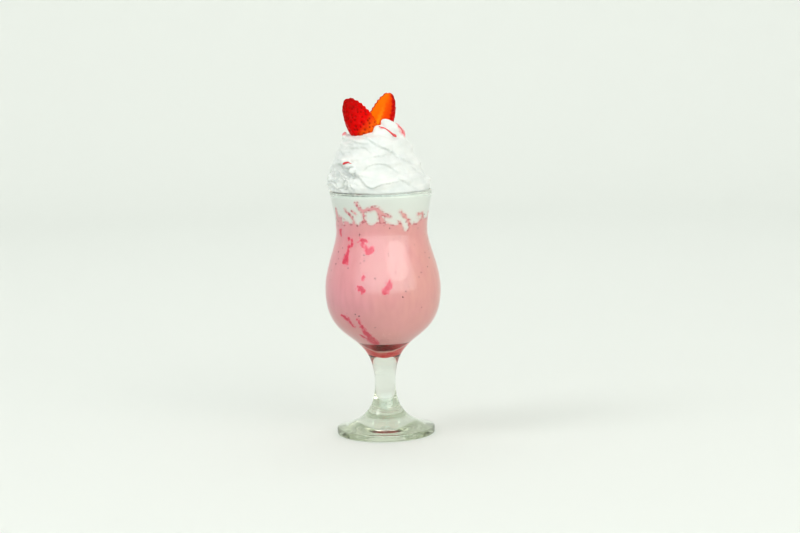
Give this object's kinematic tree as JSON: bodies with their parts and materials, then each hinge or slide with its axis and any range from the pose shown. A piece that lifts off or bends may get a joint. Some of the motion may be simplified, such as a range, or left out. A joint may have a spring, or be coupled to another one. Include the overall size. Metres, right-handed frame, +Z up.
{
  "type": "strawberry milkshake",
  "caption": "Pink strawberry milkshake in a stemmed tulip glass, with a pool of syrup below and piped whipped cream above, topped with a halved strawberry.",
  "frame": {"origin": "centre of the glass's foot, on the surface that it stands on", "axes": "+Z up along the glass's axis; -Y is the side with the tail of cream and the outer skin of the left berry half; +X to the right of it"},
  "size_m": [0.0848, 0.0848, 0.2507],
  "materials": {
    "glass": "clear, polished",
    "milkshake": "creamy pink",
    "syrup": "dark red, wet",
    "cream": "soft white",
    "strawberry": "red, moist"
  },
  "bodies": {
    "root": {"glass": "glass", "milkshake": "milkshake", "syrup_pool": "syrup", "whipped_cream": "cream", "strawberry_left": "strawberry", "strawberry_right": "strawberry"}
  },
  "joints": []
}
